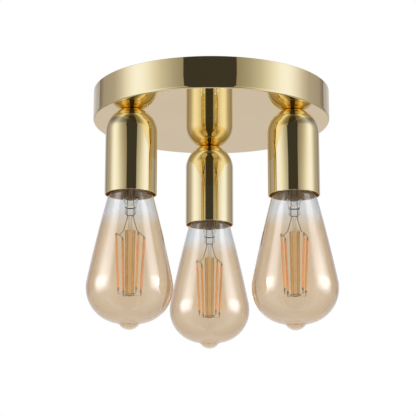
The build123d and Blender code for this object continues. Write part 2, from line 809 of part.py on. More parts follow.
for name, place in lamp_places.items():
    # Teardrop glass: neck, long flank, round belly and a soft pip at the bottom
    with BuildPart() as glass:
        with BuildSketch(section_on(place)) as outline:
            with BuildLine():
                belly = CenterArc(belly_centre, glass_belly_arc, -90, 90 + glass_flank_angle)
                flank = TangentArc(flank_end, flank_start, tangent=belly % 1)
                neck = FilletPolyline(
                    flank @ 1,
                    flank @ 1 + (flank % 1) * glass_taper_run,
                    (glass_neck_radius, cap_base),
                    (glass_neck_radius, glass_top),
                    radius=glass_neck_blends,
                )
                Polyline(neck @ 1, (0, glass_top), (0, crown_level), belly @ 0)
            make_face()
            with Locations((0, lamp_tip + glass_pip_arc)):
                Circle(glass_pip_arc)
            split(bisect_by=Plane.YZ)
            # The nearest corner to the tip is the tip itself, and the next is where the pip begins.
            fillet(outline.vertices().sort_by_distance((0, lamp_tip))[1], glass_pip_blend)
        revolve(axis=axis_at(place))
        offset(amount=-glass_wall, openings=glass.faces().sort_by(Axis.Z)[-1])
    glass.part.label = f"glass_{name}"
    export_step(glass.part, f"parts/glass_{name}.step")

    # Screw cap: a thin brass shell with a sloping shoulder and a turned-out rim
    with BuildPart() as cap:
        with BuildSketch(section_on(place)):
            with BuildLine():
                Polyline(
                    (cap_opening, insulator_base),
                    (cap_top_radius, insulator_base),
                    (cap_radius, insulator_base - cap_shoulder),
                    (cap_radius, cap_base + 2 * cap_rim_height),
                    (cap_rim_diameter / 2, cap_base + cap_rim_height),
                    (cap_rim_diameter / 2, cap_base),
                    (cap_inner, cap_base),
                    (cap_inner, insulator_base - cap_shoulder - cap_wall / 2),
                    (cap_opening, insulator_base - cap_wall),
                    close=True,
                )
            make_face()
        revolve(axis=axis_at(place))
    cap.part.label = f"cap_{name}"
    export_step(cap.part, f"parts/cap_{name}.step")

    with BuildPart() as insulator:
        with BuildSketch(section_on(place)):
            with BuildLine():
                Polyline(
                    (shank_hole, insulator_top),
                    (insulator_top_diameter / 2, insulator_top),
                    (cap_top_radius, insulator_base),
                    (cap_opening - thread_clearance, insulator_base),
                    (cap_opening - thread_clearance, plug_base),
                    (shank_hole, plug_base),
                    close=True,
                )
            make_face()
        revolve(axis=axis_at(place))
    insulator.part.label = f"insulator_{name}"
    export_step(insulator.part, f"parts/insulator_{name}.step")

    with BuildPart() as button:
        with BuildSketch(level_on(place, insulator_top)):
            Circle(button_diameter / 2)
        extrude(amount=button_height)
        fillet(button.edges().group_by(Axis.Z)[-1], button_height - 2 * cap_wall)
        with BuildSketch(level_on(place, insulator_top)):
            Circle(button_shank_diameter / 2)
        extrude(amount=plug_base - insulator_top)
    button.part.label = f"contact_button_{name}"
    export_step(button.part, f"parts/contact_button_{name}.step")

    # Glass stem: the flare sealed to the neck, the flat press, the rod and the hollow pillar
    with BuildPart() as stem:
        with BuildSketch(section_on(place)):
            with BuildLine():
                FilletPolyline(
                    (glass_neck_radius - glass_wall, flare_top),
                    (flare_radius, flare_top),
                    (flare_radius, press_top + stem_taper_height),
                    (press_width / 2, press_top),
                    radius=stem_flare_bend,
                )
                offset(amount=stem_wall, side=Side.RIGHT)
            make_face()
        revolve(axis=axis_at(place))
        with BuildSketch(level_on(place, press_top + stem_wall / 2)):
            Circle(press_width / 2)
        with BuildSketch(level_on(place, press_shoulder)):
            RectangleRounded(press_width, press_depth, press_depth / 4)
        loft()
        with BuildSketch(level_on(place, press_shoulder)):
            RectangleRounded(press_width, press_depth, press_depth / 4)
        extrude(amount=press_base - press_shoulder)
        with BuildSketch(level_on(place, press_base)):
            Circle(rod_diameter / 2)
        extrude(amount=pillar_top - press_base)
        with BuildSketch(section_on(place)):
            with BuildLine():
                Polyline(
                    (0, pillar_top),
                    (pillar_top_diameter / 2, pillar_top),
                    (pillar_base_diameter / 2, pillar_base),
                    (pillar_base_diameter / 2 - pillar_wall, pillar_base),
                    (pillar_top_diameter / 2 - pillar_wall, pillar_top - pillar_wall),
                    (0, pillar_top - pillar_wall),
                    close=True,
                )
            make_face()
        revolve(axis=axis_at(place))
        with BuildSketch(level_on(place, press_base)):
            with GridLocations(2 * lead_offset, 0, 2, 1):
                Circle(lead_radius + thread_clearance)
        extrude(amount=press_height + stem_wall, mode=Mode.SUBTRACT)
    stem.part.label = f"stem_{name}"
    export_step(stem.part, f"parts/stem_{name}.step")

    # Two leads from the driver down to the bars over the filaments, and the support below them
    with BuildPart() as leads:
        for side in (-1, 1):
            # Each lead feeds the two filaments on its own side.
            ends = [
                filament_point(place, turn, filament_top_radius, bar_level)
                for turn in filament_angles
                if side * cos(radians(turn)) > 0
            ]
            with BuildLine() as route:
                FilletPolyline(
                    point_on(place, 0, side * lead_offset, 0, glass_top + lead_above_flare),
                    point_on(place, 0, side * lead_offset, 0, press_base - lead_bend),
                    point_on(place, 0, side * lead_spread, 0, pillar_top),
                    (ends[0] + ends[1]) / 2,
                    radius=lead_bend,
                )
            with BuildSketch(start_of(route.line)):
                Circle(lead_radius)
            sweep(path=route.line)
            with BuildSketch(Plane(origin=ends[0], z_dir=ends[1] - ends[0])):
                Circle(lead_radius)
            extrude(amount=(ends[1] - ends[0]).length)
        with BuildSketch(level_on(place, support_level - lead_radius)):
            Circle(pillar_base_diameter / 2 + lead_diameter + thread_clearance)
        extrude(amount=lead_diameter)
        for turn in filament_angles:
            with BuildLine() as route:
                FilletPolyline(
                    filament_point(place, turn, filament_base_radius, support_top),
                    filament_point(place, turn, filament_base_radius, support_level),
                    filament_point(place, turn, pillar_base_diameter / 2, support_level),
                    radius=lead_diameter,
                )
            with BuildSketch(start_of(route.line)):
                Circle(lead_radius)
            sweep(path=route.line)
        with BuildSketch(level_on(place, pillar_base - lead_diameter)):
            Circle(pillar_base_diameter / 2 + thread_clearance)
        extrude(amount=4 * lead_diameter, mode=Mode.SUBTRACT)
    leads.part.label = f"leads_{name}"
    export_step(leads.part, f"parts/leads_{name}.step")

    with BuildPart() as filaments:
        for turn in filament_angles:
            top = filament_point(place, turn, filament_top_radius, filament_top)
            base = filament_point(place, turn, filament_base_radius, filament_base)
            slope = (top - base).normalized()
            with BuildSketch(Plane(origin=base, z_dir=slope)):
                Circle(filament_diameter / 2)
            extrude(amount=(top - base).length)
            with BuildSketch(Plane(origin=base - slope * filament_end_length, z_dir=slope)):
                Circle(filament_end_diameter / 2)
            extrude(amount=(top - base).length + 2 * filament_end_length)
    filaments.part.label = f"filaments_{name}"
    export_step(filaments.part, f"parts/filaments_{name}.step")

    # Driver: a small upright board with its capacitor, close under the insulator
    with BuildPart() as driver:
        board_top = plug_base - driver_gap
        board_y = button_shank_diameter / 2 + capacitor_diameter / 2
        with BuildSketch(level_on(place, board_top)):
            with Locations((0, board_y + driver_thickness / 2)):
                Rectangle(driver_width, driver_thickness)
        extrude(amount=-driver_height)
        with BuildSketch(level_on(place, board_top - driver_thickness)):
            with Locations((0, board_y - capacitor_diameter / 2 + driver_thickness / 2)):
                Circle(capacitor_diameter / 2)
        extrude(amount=-capacitor_height)
    driver.part.label = f"driver_{name}"
    export_step(driver.part, f"parts/driver_{name}.step")
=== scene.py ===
import json
from math import acos, atan2, ceil, cos, hypot, pi, radians, sin, sqrt, tan

import bmesh
import bpy
from mathutils import Matrix, Vector

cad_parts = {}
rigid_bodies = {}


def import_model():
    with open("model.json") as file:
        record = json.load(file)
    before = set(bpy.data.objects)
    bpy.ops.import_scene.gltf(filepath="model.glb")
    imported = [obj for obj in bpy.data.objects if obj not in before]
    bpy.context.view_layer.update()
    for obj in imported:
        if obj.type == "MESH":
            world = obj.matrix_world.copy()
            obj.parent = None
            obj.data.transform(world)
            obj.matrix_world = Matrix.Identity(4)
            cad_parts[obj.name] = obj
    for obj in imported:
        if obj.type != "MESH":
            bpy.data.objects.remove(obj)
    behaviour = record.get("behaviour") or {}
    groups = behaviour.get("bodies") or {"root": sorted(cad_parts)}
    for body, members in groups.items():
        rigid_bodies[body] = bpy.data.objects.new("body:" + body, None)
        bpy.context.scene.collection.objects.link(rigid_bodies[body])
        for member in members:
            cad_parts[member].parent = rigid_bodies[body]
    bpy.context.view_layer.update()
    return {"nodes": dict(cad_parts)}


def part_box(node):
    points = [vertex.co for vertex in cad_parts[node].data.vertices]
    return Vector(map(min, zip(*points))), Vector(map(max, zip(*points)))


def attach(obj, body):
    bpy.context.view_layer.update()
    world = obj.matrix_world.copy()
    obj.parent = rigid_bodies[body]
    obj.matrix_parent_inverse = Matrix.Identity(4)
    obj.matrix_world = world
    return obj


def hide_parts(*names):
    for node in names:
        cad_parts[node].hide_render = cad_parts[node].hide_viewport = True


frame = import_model()
nodes = frame["nodes"]
scene = bpy.context.scene
mm = 0.001
print("frame loaded:", len(nodes), "nodes")

lampPlaces = {"back": (0.0, 70.5), "left": (-61.0548, -35.25), "right": (61.0548, -35.25)}


# Shader maths: a socket that can be added, multiplied and so on

class Shade:
    def __init__(self, tree, socket=None):
        self.tree = tree
        self.socket = socket

    def node(self, kind, settings=None, inputs=None, out=0):
        made = self.tree.nodes.new(kind)
        for name, value in (settings or {}).items():
            if name == "stops":
                ramp = made.color_ramp
                while len(ramp.elements) < len(value):
                    ramp.elements.new(1.0)
                for stop, (place, colour) in zip(ramp.elements, value):
                    stop.position = place
                    stop.color = (*colour, 1.0)
            else:
                setattr(made, name, value)
        for name, value in (inputs or {}).items():
            if isinstance(value, Shade):
                self.tree.links.new(value.socket, made.inputs[name])
            else:
                made.inputs[name].default_value = value
        return Shade(self.tree, made.outputs[out])

    def math(self, operation, a, b=0.0):
        return self.node("ShaderNodeMath", {"operation": operation}, {0: a, 1: b})

    def __add__(self, other):
        return self.math("ADD", self, other)

    def __sub__(self, other):
        return self.math("SUBTRACT", self, other)

    def __rsub__(self, other):
        return self.math("SUBTRACT", other, self)

    def __mul__(self, other):
        return self.math("MULTIPLY", self, other)

    def __truediv__(self, other):
        return self.math("DIVIDE", self, other)

    def __rtruediv__(self, other):
        return self.math("DIVIDE", other, self)

    def __pow__(self, other):
        return self.math("POWER", self, other)

    __radd__ = __add__
    __rmul__ = __mul__

    def between(self, low, high):
        return self.node(
            "ShaderNodeMapRange", {"interpolation_type": "SMOOTHSTEP"},
            {"Value": self, "From Min": low, "From Max": high},
        )

    # One between the middle two values, fading to nothing at the outer two
    def band(self, begin, full, fade, end):
        return self.between(begin, full) * (1.0 - self.between(fade, end))

    def mix(self, first, second):
        def ready(colour):
            return colour if isinstance(colour, Shade) else (*colour, 1.0)
        return self.node(
            "ShaderNodeMix", {"data_type": "RGBA"}, {0: self, 6: ready(first), 7: ready(second)}, out=2
        )

    def axis(self, which):
        return self.node("ShaderNodeSeparateXYZ", None, {0: self}, out="XYZ".index(which))

    def feed(self, shader, name):
        self.tree.links.new(self.socket, shader.inputs[name])


def emptyTree(owner):
    owner.use_nodes = True
    owner.node_tree.nodes.clear()
    return owner.node_tree


def newFinish(name, constants):
    material = bpy.data.materials.new(name)
    tree = emptyTree(material)
    shader = tree.nodes.new("ShaderNodeBsdfPrincipled")
    output = tree.nodes.new("ShaderNodeOutputMaterial")
    tree.links.new(shader.outputs[0], output.inputs["Surface"])
    for socket, value in constants.items():
        shader.inputs[socket].default_value = value
    start = Shade(tree)
    place = start.node("ShaderNodeTexCoord", out="Object")
    return material, shader, start, place


def noise(place, scale, detail=3.0, roughness=0.5):
    return place.node(
        "ShaderNodeTexNoise", None,
        {"Vector": place, "Scale": scale, "Detail": detail, "Roughness": roughness},
    )


def bump(height, strength, distance):
    return height.node(
        "ShaderNodeBump", None, {"Height": height, "Strength": strength, "Distance": distance}
    )


markDepth, grainDepth = 0.00004, 0.00008  # of the finest marks, in metres


# Metal with slow colour drift, uneven polish and fine marks
def metalFinish(name, light, dark, roughness, spread, marks, markScale=900.0, drift=25.0, metallic=1.0):
    material, shader, start, place = newFinish(name, {"Metallic": metallic})
    slow = noise(place, drift, 4.0)
    fine = noise(place, markScale, 2.0)
    slow.between(0.35, 0.68).mix(dark, light).feed(shader, "Base Color")
    (fine.between(0.3, 0.8) * spread + slow * spread + roughness).feed(shader, "Roughness")
    bump(fine, marks, markDepth).feed(shader, "Normal")
    return material


# Plastic, ceramic and other plain solids with a grain and a few dull specks
def solidFinish(name, light, dark, roughness, spread, grain, coat=0.0, grainScale=700.0, drift=60.0):
    material, shader, start, place = newFinish(name, {"Coat Weight": coat, "Coat Roughness": 0.08})
    slow = noise(place, drift, 4.0)
    fine = noise(place, grainScale, 3.0, 0.6)
    slow.between(0.3, 0.7).mix(dark, light).feed(shader, "Base Color")
    (fine.between(0.3, 0.75) * spread + roughness).feed(shader, "Roughness")
    bump(fine, grain, grainDepth).feed(shader, "Normal")
    return material


print("building finishes")

brassLook = {
    "light": (0.93, 0.795, 0.46),
    "dark": (0.915, 0.775, 0.435),
    "roughness": 0.018,
    "spread": 0.022,
    "marks": 0.03,
}
polishedBrass = metalFinish("polishedBrass", **brassLook, markScale=1400.0)

# Inside a bell the brass takes a second finish, duller and deeper in colour
innerBrass = metalFinish(
    "innerBrass", (0.93, 0.54, 0.17), (0.82, 0.42, 0.11), 0.36, 0.15, 0.30, 600.0, 60.0, metallic=0.55
)
screwBrass = metalFinish("screwBrass", (0.86, 0.70, 0.38), (0.74, 0.57, 0.28), 0.12, 0.12, 0.25)
shellBrass = metalFinish("shellBrass", (0.84, 0.69, 0.40), (0.66, 0.50, 0.26), 0.20, 0.16, 0.35)
capMetal = metalFinish("capMetal", (0.80, 0.72, 0.52), (0.70, 0.60, 0.40), 0.20, 0.12, 0.30)
zincSteel = metalFinish("zincSteel", (0.70, 0.71, 0.73), (0.56, 0.57, 0.60), 0.22, 0.22, 0.40, 500.0, 45.0)
leadNickel = metalFinish("leadNickel", (0.62, 0.60, 0.57), (0.46, 0.44, 0.42), 0.25, 0.15, 0.30)
solderTin = metalFinish("solderTin", (0.72, 0.72, 0.71), (0.55, 0.55, 0.54), 0.28, 0.25, 0.60, 420.0, 180.0)

nylonBlock = solidFinish("nylonBlock", (0.86, 0.85, 0.80), (0.80, 0.79, 0.73), 0.38, 0.18, 0.25)
liveSleeve = solidFinish("liveSleeve", (0.26, 0.10, 0.045), (0.19, 0.07, 0.03), 0.34, 0.15, 0.22)
neutralSleeve = solidFinish("neutralSleeve", (0.035, 0.13, 0.42), (0.025, 0.09, 0.32), 0.34, 0.15, 0.22)
glazedCeramic = solidFinish(
    "glazedCeramic", (0.87, 0.86, 0.83), (0.80, 0.785, 0.745), 0.26, 0.20, 0.20, coat=0.7, grainScale=420.0
)
blackGlass = solidFinish(
    "blackGlass", (0.030, 0.026, 0.030), (0.012, 0.010, 0.014), 0.10, 0.14, 0.15, coat=0.5
)
driverBoard = solidFinish("driverBoard", (0.075, 0.22, 0.10), (0.05, 0.16, 0.07), 0.35, 0.2, 0.3)


# Earth wire: a green sleeve with slanting yellow stripes
earthLook = {
    "green": (0.03, 0.27, 0.06), "yellow": (0.83, 0.68, 0.04), "stripes": 130.0, "waver": 0.6, "grain": 700.0,
}


def earthSleeveFinish():
    look = earthLook
    material, shader, start, place = newFinish("earthSleeve", {})
    stripe = place.node(
        "ShaderNodeTexWave", {"wave_type": "BANDS", "bands_direction": "DIAGONAL"},
        {"Vector": place, "Scale": look["stripes"], "Distortion": look["waver"]}, out=1,
    )
    grain = noise(place, look["grain"])
    stripe.between(0.45, 0.55).mix(look["green"], look["yellow"]).feed(shader, "Base Color")
    (grain * 0.2 + 0.28).feed(shader, "Roughness")
    bump(grain, 0.2, grainDepth).feed(shader, "Normal")
    return material


earthSleeve = earthSleeveFinish()


# Lamp glass: clear at the neck, amber from there down, deeper where it turns away from the eye
amberLook = {
    "clear": (0.965, 0.980, 0.950),
    "clearEdge": (0.85, 0.868, 0.845),
    "amber": (0.956, 0.848, 0.676),
    "amberEdge": (0.865, 0.665, 0.44),
    "fadeTop": -0.1035,
    "fadeBase": -0.1125,
    "waver": 0.0016,  # how far the line of the tint wanders, in metres
    "edgePower": 2.6,
    "ripple": 0.02,
    "rippleDepth": 0.0005,
    "ior": 1.47,
}


def amberFinish():
    look = amberLook
    material, shader, start, place = newFinish(
        "amberGlass", {"Transmission Weight": 1.0, "Roughness": 0.0, "IOR": look["ior"]}
    )
    height = place.axis("Z") + noise(place, 60.0, 2.0) * look["waver"]
    depth = 1.0 - height.between(look["fadeBase"], look["fadeTop"])
    facing = start.node("ShaderNodeLayerWeight", None, {"Blend": 0.5}, out="Facing")
    body = depth.mix(look["clear"], look["amber"])
    edge = depth.mix(look["clearEdge"], look["amberEdge"])
    (facing ** look["edgePower"]).mix(body, edge).feed(shader, "Base Color")
    bump(noise(place, 42.0, 1.5), look["ripple"], look["rippleDepth"]).feed(shader, "Normal")
    return material


amberGlass = amberFinish()


# Stem glass: clear above, and tinted warm along the pillar, a painted reflection of the orange filaments
# round it
stemLook = {
    "clear": (0.95, 0.95, 0.95), "clearDull": (0.91, 0.91, 0.92),
    "filamentCast": (0.965, 0.875, 0.72), "filamentCastDull": (0.945, 0.84, 0.67),
    "filamentCastTop": -0.1155, "filamentCastBase": -0.1195, "grain": 260.0, "grainDepth": 0.0002, "ior": 1.32,
}


def stemFinish():
    look = stemLook
    material, shader, start, place = newFinish("stemGlass", {"Transmission Weight": 1.0, "IOR": look["ior"]})
    grain = noise(place, look["grain"], 3.0)
    # Painted reflection: the glass is tinted warm from the pillar down, standing in for the orange filaments
    paintedCast = 1.0 - place.axis("Z").between(look["filamentCastBase"], look["filamentCastTop"])
    tone = paintedCast.mix(look["clear"], look["filamentCast"])
    dull = paintedCast.mix(look["clearDull"], look["filamentCastDull"])
    grain.between(0.3, 0.7).mix(tone, dull).feed(shader, "Base Color")
    (grain * 0.05 + 0.01).feed(shader, "Roughness")
    bump(grain, 0.25, look["grainDepth"]).feed(shader, "Normal")
    return material


stemGlass = stemFinish()


# Filament stick: phosphor gel, pinkish orange, with the faint beads of the chips inside. The gel also gives
# off a faint orange light, a painted glow, as the lamp is not switched on.
phosphorLook = {
    "light": (0.97, 0.66, 0.45), "deep": (0.94, 0.54, 0.31), "glow": (0.95, 0.52, 0.27),
    "deepGlow": (0.90, 0.42, 0.18), "strength": 0.32, "beads": 190.0, "grain": 900.0, "grainDepth": 0.0001,
}


def phosphorFinish():
    look = phosphorLook
    material, shader, start, place = newFinish("filamentPhosphor", {
        "Subsurface Weight": 0.3, "Subsurface Scale": 0.001, "Emission Strength": look["strength"],
    })
    beads = place.node(
        "ShaderNodeTexWave", {"wave_type": "BANDS", "bands_direction": "Z"},
        {"Vector": place, "Scale": look["beads"], "Distortion": 0.4}, out=1,
    )
    grain = noise(place, look["grain"])
    tone = (beads * 0.35 + grain * 0.4).between(0.1, 0.7)
    tone.mix(look["light"], look["deep"]).feed(shader, "Base Color")
    # Painted glow: the gel's faint orange emission
    tone.mix(look["glow"], look["deepGlow"]).feed(shader, "Emission Color")
    (grain * 0.2 + 0.38).feed(shader, "Roughness")
    bump(grain, 0.2, look["grainDepth"]).feed(shader, "Normal")
    return material


filamentPhosphor = phosphorFinish()


# Profiles in (radius, height), millimetres

def arcPoints(centre, radius, start, end, steps):
    return [
        (
            centre[0] + radius * cos(radians(start + (end - start) * i / steps)),
            centre[1] + radius * sin(radians(start + (end - start) * i / steps)),
        )
        for i in range(steps + 1)
    ]


# A line with its inner corners rounded, one radius for each. A point just before and after each
# bend keeps the straight runs flat in the shading.
guard = 0.2


def rounded(corners, radii, steps=8):
    path = [tuple(corners[0])]
    for before, here, after, radius in zip(corners, corners[1:], corners[2:], radii):
        here = Vector(here)
        inward = (Vector(before) - here).normalized()
        onward = (Vector(after) - here).normalized()
        turn = pi - inward.angle(onward)
        if radius == 0 or turn < 0.001:
            path.append(tuple(here))
            continue
        reach = radius * tan(turn / 2)
        centre = here + (inward + onward).normalized() * (radius / cos(turn / 2))
        first = here + inward * reach - centre
        last = here + onward * reach - centre
        way = 1 if first.x * last.y - first.y * last.x > 0 else -1
        count = max(2, ceil(steps * turn / (pi / 2)))
        if (Vector(before) - here).length > reach + 8 * guard:
            path.append(tuple(here + inward * (reach + guard)))
        for i in range(count + 1):
            a = way * turn * i / count
            path.append((
                centre.x + first.x * cos(a) - first.y * sin(a),
                centre.y + first.x * sin(a) + first.y * cos(a),
            ))
        if (Vector(after) - here).length > reach + 8 * guard:
            path.append(tuple(here + onward * (reach + guard)))
    path.append(tuple(corners[-1]))
    return path


# Even steps along a straight wall, without its first point
def wallSteps(radius, start, end, rows):
    return [(radius, start + (end - start) * i / rows) for i in range(1, rows + 1)]


def meshFrom(bm, name, place=(0.0, 0.0)):
    bmesh.ops.translate(bm, verts=bm.verts, vec=(place[0] * mm, place[1] * mm, 0))
    mesh = bpy.data.meshes.new(name)
    bm.to_mesh(mesh)
    bm.free()
    return mesh


def pieceFrom(bm, name, material, body, replaced=(), place=(0.0, 0.0), sharp=32):
    mesh = meshFrom(bm, name, place)
    mesh.shade_smooth()
    mesh.set_sharp_from_angle(angle=radians(sharp))
    mesh.materials.append(material)
    piece = bpy.data.objects.new(name, mesh)
    scene.collection.objects.link(piece)
    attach(piece, body)
    if replaced:
        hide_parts(*replaced)
    return piece


# A profile turned about the upright axis
def turned(profile, steps=160, closed=False, bm=None):
    bm = bm or bmesh.new()
    ring = [bm.verts.new((r * mm, 0, z * mm)) for r, z in profile]
    edges = [bm.edges.new(pair) for pair in zip(ring, ring[1:])]
    if closed:
        edges.append(bm.edges.new((ring[-1], ring[0])))
    bmesh.ops.spin(
        bm, geom=ring + edges, cent=(0, 0, 0), axis=(0, 0, 1), angle=2 * pi, steps=steps, use_merge=True
    )
    bmesh.ops.remove_doubles(bm, verts=bm.verts, dist=1e-7)
    bmesh.ops.delete(bm, geom=[e for e in bm.edges if e.is_wire], context="EDGES")
    bmesh.ops.recalc_face_normals(bm, faces=bm.faces)
    return bm


# A round rod along a path of points, with closed ends
def rod(bm, path, radius, sides=16):
    points = [Vector(p) * mm for p in path]
    along = (points[1] - points[0]).normalized()
    tilt = along.to_track_quat("Z", "Y").to_matrix().to_4x4()
    made = bmesh.ops.create_circle(
        bm, cap_ends=True, segments=sides, radius=radius * mm,
        matrix=Matrix.Translation(points[0]) @ tilt,
    )
    face = base = made["verts"][0].link_faces[0]
    for here, after in zip(points, points[1:]):
        grown = bmesh.ops.extrude_face_region(bm, geom=[face])
        tops = [g for g in grown["geom"] if isinstance(g, bmesh.types.BMVert)]
        newFace = next(g for g in grown["geom"] if isinstance(g, bmesh.types.BMFace))
        bmesh.ops.translate(bm, verts=tops, vec=after - here)
        if face is not base:
            bmesh.ops.delete(bm, geom=[face], context="FACES_ONLY")
        face = newFace
    return bm


# A path of points with its corners bent round
def bentPath(corners, radius, steps=6):
    path = [Vector(corners[0])]
    for before, here, after in zip(corners, corners[1:], corners[2:]):
        here = Vector(here)
        inward = (Vector(before) - here).normalized()
        onward = (Vector(after) - here).normalized()
        turn = pi - inward.angle(onward)
        reach = radius * tan(turn / 2)
        for i in range(steps + 1):
            t = i / steps
            a, b = here + inward * reach, here + onward * reach
            path.append(a.lerp(here, t).lerp(here.lerp(b, t), t))
    path.append(Vector(corners[-1]))
    return path


# A right-hand thread pressed into a turned wall, between two levels
screwThread = {"pitch": 3.629, "depth": 0.85, "runOut": 1.6, "leastRadius": 8.0}


def pressThread(bm, lowest, highest):
    look = screwThread
    for v in bm.verts:
        height = v.co.z / mm
        out = hypot(v.co.x, v.co.y)
        if not lowest < height < highest or out < look["leastRadius"] * mm:
            continue
        fade = min(1.0, (height - lowest) / look["runOut"], (highest - height) / look["runOut"])
        phase = 2 * pi * height / look["pitch"] - atan2(v.co.y, v.co.x)
        inward = look["depth"] * mm * fade * (0.5 - 0.5 * cos(phase))
        v.co.x *= 1 - inward / out
        v.co.y *= 1 - inward / out


plateLook = {"radius": 92.0, "height": 24.0, "wall": 1.0, "corner": 1.6, "lip": 0.3}


def makePlate():
    look = plateLook
    radius, base, wall = look["radius"], -look["height"], look["wall"]
    inner = radius - wall
    profile = rounded(
        [(0, base), (radius, base), (radius, 0), (inner, 0), (inner, base + wall), (0, base + wall)],
        [look["corner"], look["lip"], look["lip"], look["corner"] - wall], steps=14,
    )
    bm = turned(profile, steps=288)
    return pieceFrom(bm, "platePan", polishedBrass, "fixture", ["ceiling_plate"])


bellLook = {
    "radius": 19.5, "wall": 0.9, "top": -24.0, "base": -90.0, "flat": 7.0, "bore": 5.05, "edge": 0.3,
}


def makeBell(name, place):
    look = bellLook
    radius, wall, inner = look["radius"], look["wall"], look["radius"] - look["wall"]
    centre = look["top"] - sqrt(radius ** 2 - look["flat"] ** 2)
    start = 90 - acos(sqrt(radius ** 2 - look["flat"] ** 2) / radius) * 180 / pi
    domeOut = arcPoints((0, centre), radius, start, 0, 26)
    innerFlat = sqrt(inner ** 2 - (look["top"] - wall - centre) ** 2)
    innerStart = atan2(look["top"] - wall - centre, innerFlat) * 180 / pi
    domeIn = arcPoints((0, centre), inner, 0, innerStart, 26)
    mouth = rounded(
        [(radius, centre - 5), (radius, look["base"]), (inner, look["base"]), (inner, centre - 5)],
        [look["edge"], look["edge"]], steps=6,
    )
    bore = [(look["bore"], look["top"])]
    profile = bore + domeOut + mouth[1:-1] + domeIn + [(look["bore"], look["top"] - wall)]
    bm = turned(profile, steps=192, closed=True)
    # The faces that look inwards, or down inside the dome, take the second finish.
    for face in bm.faces:
        middle = face.calc_center_median()
        out = hypot(middle.x, middle.y)
        outward = (middle.x * face.normal.x + middle.y * face.normal.y) / out
        if outward < -0.05 or (face.normal.z < -0.5 and out < (inner - look["edge"]) * mm):
            face.material_index = 1
    bell = pieceFrom(
        bm, f"bellShell_{name}", polishedBrass, "fixture", [f"bell_{name}"], place
    )
    bell.data.materials.append(innerBrass)
    return bell


glassLook = {
    "neck": 12.3, "top": -74.0, "capBase": -78.5, "blends": (15.0, 12.0), "taperRun": 4.0,
    "flankStart": (17.6, -93.5), "bellyCentre": (5.7, -160.2), "belly": 26.5, "flankAngle": 11.3,
    "pip": 8.5, "pipBlend": 4.0, "tip": -191.5, "wall": 0.9,
}


# The outline from the neck down to the tip, moved inwards by the given amount
def glassOutline(inset):
    look = glassLook
    centre = Vector(look["bellyCentre"])
    belly = look["belly"] - inset
    turn = radians(look["flankAngle"])
    flankEnd = centre + Vector((cos(turn), sin(turn))) * look["belly"]
    start = Vector(look["flankStart"])
    chord = start - flankEnd
    swing = atan2(chord.y, chord.x) - (turn + pi / 2)
    flankRadius = chord.length / (2 * sin(swing))
    # The flank is a very flat arc that leaves the belly without a corner.
    flankCentre = flankEnd - Vector((cos(turn), sin(turn))) * flankRadius
    outTurn = turn + 2 * swing
    flank = arcPoints(flankCentre, flankRadius - inset, outTurn * 180 / pi, look["flankAngle"], 36)
    leave = Vector((-sin(outTurn), cos(outTurn)))
    side = Vector((cos(outTurn), sin(outTurn)))
    neckStart = start - side * inset
    neck = rounded(
        [
            (look["neck"] - inset, look["top"]),
            (look["neck"] - inset, look["capBase"] - inset * 0.2),
            tuple(neckStart + leave * look["taperRun"]),
            tuple(neckStart),
        ],
        [look["blends"][1] + inset, look["blends"][0] + inset], steps=48,
    )
    pip, blend = look["pip"] - inset, look["pipBlend"] + inset
    pipCentre = Vector((0, look["tip"] + look["pip"]))
    gap = pipCentre - centre
    far, near = belly + blend, pip + blend
    reach = (far ** 2 - near ** 2 + gap.length_squared) / (2 * gap.length)
    aside = sqrt(far ** 2 - reach ** 2)
    ahead = gap.normalized()
    blendCentre = centre + ahead * reach + Vector((-ahead.y, ahead.x)) * aside
    bellyEnd = (blendCentre - centre).angle_signed(Vector((1, 0))) * 180 / pi
    pipStart = (blendCentre - pipCentre).angle_signed(Vector((1, 0))) * 180 / pi
    bellyArc = arcPoints(centre, belly, look["flankAngle"], bellyEnd, 60)
    blendArc = arcPoints(blendCentre, blend, bellyEnd + 180, pipStart + 180, 12)
    pipArc = arcPoints(pipCentre, pip, pipStart, -90, 16)
    return neck[:-1] + flank + bellyArc[1:] + blendArc[1:] + pipArc[1:]


def makeGlass(name, place):
    outer = glassOutline(0.0)
    inner = glassOutline(glassLook["wall"])
    profile = outer[:-1] + [(0.0, outer[-1][1]), (0.0, inner[-1][1])] + inner[:-1][::-1]
    bm = turned(profile, steps=160, closed=True)
    return pieceFrom(
        bm, f"lampGlass_{name}", amberGlass, f"lamp_{name}", [f"glass_{name}"], place
    )


capLook = {
    "radius": 13.1, "wall": 0.4, "opening": 10.5, "top": -56.7, "shoulder": 2.5, "plainTop": 0.6,
    "rim": 13.6, "rimHeight": 0.6, "rimStart": 1.3, "plainBase": 1.8, "base": -78.5, "rows": 110,
    "threadTop": -60.0, "threadBase": -75.6,
}


def makeCap(name, place):
    look = capLook
    radius, wall, top, base = look["radius"], look["wall"], look["top"], look["base"]
    inner, opening, rim = radius - wall, look["opening"], look["rim"]
    shoulder = top - look["shoulder"]
    high, low = shoulder - look["plainTop"], base + look["plainBase"]
    start = high - look["plainTop"] / 2
    crown = rounded(
        [(opening - wall, top), (opening, top), (radius, shoulder), (radius, start)], [0.2, 1.4], steps=6
    )
    foot = rounded(
        [
            (radius, low), (radius, base + look["rimStart"]), (rim, base + look["rimHeight"]),
            (rim, base), (inner, base), (inner, low),
        ],
        [0.3, 0.25, 0.25, 0.1], steps=5,
    )
    outer = crown + wallSteps(radius, start, low, look["rows"])
    profile = outer + foot[1:] + wallSteps(inner, low, high, look["rows"]) + [(opening - wall, top - wall)]
    bm = turned(profile, steps=128, closed=True)
    pressThread(bm, look["threadBase"], look["threadTop"])
    bmesh.ops.recalc_face_normals(bm, faces=bm.faces)
    return pieceFrom(
        bm, f"screwCap_{name}", capMetal, f"lamp_{name}", [f"cap_{name}"], place
    )


shellLook = {
    "inner": 13.4, "wall": 0.5, "lip": 10.5, "bevel": 0.6, "innerBevel": 0.4, "rows": 96,
    "threadTop": -57.2, "threadBase": -73.9,
}


